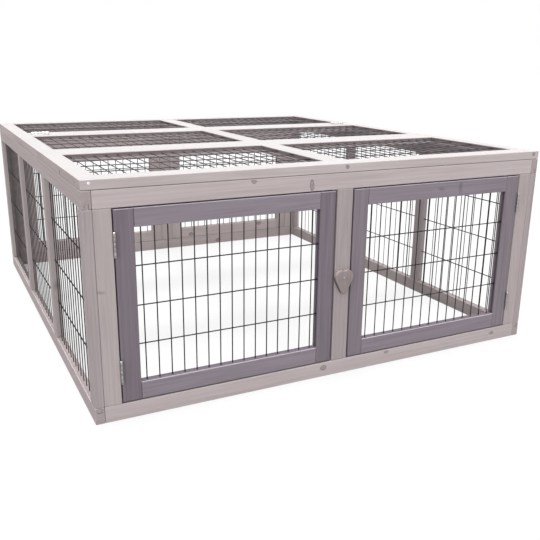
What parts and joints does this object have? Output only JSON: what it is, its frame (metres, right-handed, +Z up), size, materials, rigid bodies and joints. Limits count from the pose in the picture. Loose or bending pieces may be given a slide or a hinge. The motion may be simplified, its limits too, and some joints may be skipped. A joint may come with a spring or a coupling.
{
  "type": "outdoor rabbit run",
  "caption": "Low open-bottomed wooden run for rabbits, with wire mesh walls and roof, framed front doors on butt hinges, a heart turn button and a lift-up roof.",
  "frame": {"origin": "on the ground, under the middle of the whole outline", "axes": "+X to the right along the front, +Y from the front to the back, +Z up"},
  "size_m": [1.06, 1.1932, 0.4662],
  "materials": {
    "frame_wood": "grey stained softwood, matt",
    "rear_wood": "grey stained softwood, matt",
    "door_wood": "mauve grey stained softwood, matt",
    "button_wood": "grey stained plywood, matt",
    "wire": "dark coated welded wire",
    "hinge_steel": "zinc plated steel"
  },
  "bodies": {
    "run_frame": {"front_bottom_rail": "frame_wood", "front_left_stile": "frame_wood", "front_mullion": "frame_wood", "front_right_stile": "frame_wood", "front_top_rail": "frame_wood", "left_door_lower_hinge_frame_leaf": "hinge_steel", "left_door_upper_hinge_frame_leaf": "hinge_steel", "left_wall_bottom_rail": "frame_wood", "left_wall_front_divider": "frame_wood", "left_wall_front_mesh": "wire", "left_wall_front_stile": "frame_wood", "left_wall_middle_mesh": "wire", "left_wall_rear_divider": "frame_wood", "left_wall_rear_mesh": "wire", "left_wall_rear_stile": "frame_wood", "left_wall_top_rail": "frame_wood", "rear_left_panel_frame": "rear_wood", "rear_left_panel_mesh": "wire", "rear_right_panel_frame": "rear_wood", "rear_right_panel_mesh": "wire", "rear_roof_frame": "frame_wood", "rear_roof_left_mesh": "wire", "rear_roof_right_mesh": "wire", "rear_wall_frame": "rear_wood", "right_door_lower_hinge_frame_leaf": "hinge_steel", "right_door_upper_hinge_frame_leaf": "hinge_steel", "right_wall_bottom_rail": "frame_wood", "right_wall_front_divider": "frame_wood", "right_wall_front_mesh": "wire", "right_wall_front_stile": "frame_wood", "right_wall_middle_mesh": "wire", "right_wall_rear_divider": "frame_wood", "right_wall_rear_mesh": "wire", "right_wall_rear_stile": "frame_wood", "right_wall_top_rail": "frame_wood", "roof_left_hinge_frame_leaf": "hinge_steel", "roof_right_hinge_frame_leaf": "hinge_steel"},
    "left_door": {"left_door_bottom_rail": "door_wood", "left_door_hinge_stile": "door_wood", "left_door_lock_stile": "door_wood", "left_door_lower_hinge_door_leaf": "hinge_steel", "left_door_mesh": "wire", "left_door_top_rail": "door_wood", "left_door_upper_hinge_door_leaf": "hinge_steel"},
    "right_door": {"right_door_bottom_rail": "door_wood", "right_door_hinge_stile": "door_wood", "right_door_lock_stile": "door_wood", "right_door_lower_hinge_door_leaf": "hinge_steel", "right_door_mesh": "wire", "right_door_top_rail": "door_wood", "right_door_upper_hinge_door_leaf": "hinge_steel"},
    "roof_lid": {"front_roof_frame": "frame_wood", "front_roof_left_mesh": "wire", "front_roof_right_mesh": "wire", "middle_roof_frame": "frame_wood", "middle_roof_left_mesh": "wire", "middle_roof_right_mesh": "wire", "roof_left_hinge_lid_leaf": "hinge_steel", "roof_right_hinge_lid_leaf": "hinge_steel"},
    "turn_button": {"heart_turn_button": "button_wood"}
  },
  "joints": [
    {"name": "left_door_hinge", "type": "hinge", "parent": "run_frame", "child": "left_door", "pos_m": [-0.4767, -0.5867, 0.2206], "axis": [0, 0, -1], "range_deg": [0, 180]},
    {"name": "right_door_hinge", "type": "hinge", "parent": "run_frame", "child": "right_door", "pos_m": [0.4767, -0.5867, 0.2206], "axis": [0, 0, 1], "range_deg": [0, 180]},
    {"name": "roof_lid_hinge", "type": "hinge", "parent": "run_frame", "child": "roof_lid", "pos_m": [0, 0.20303, 0.4633], "axis": [-1, 0, 0], "range_deg": [0, 180]},
    {"name": "turn_button_pivot", "type": "hinge", "parent": "run_frame", "child": "turn_button", "pos_m": [0, -0.5887, 0.2206], "axis": [0, -1, 0], "continuous": true}
  ]
}
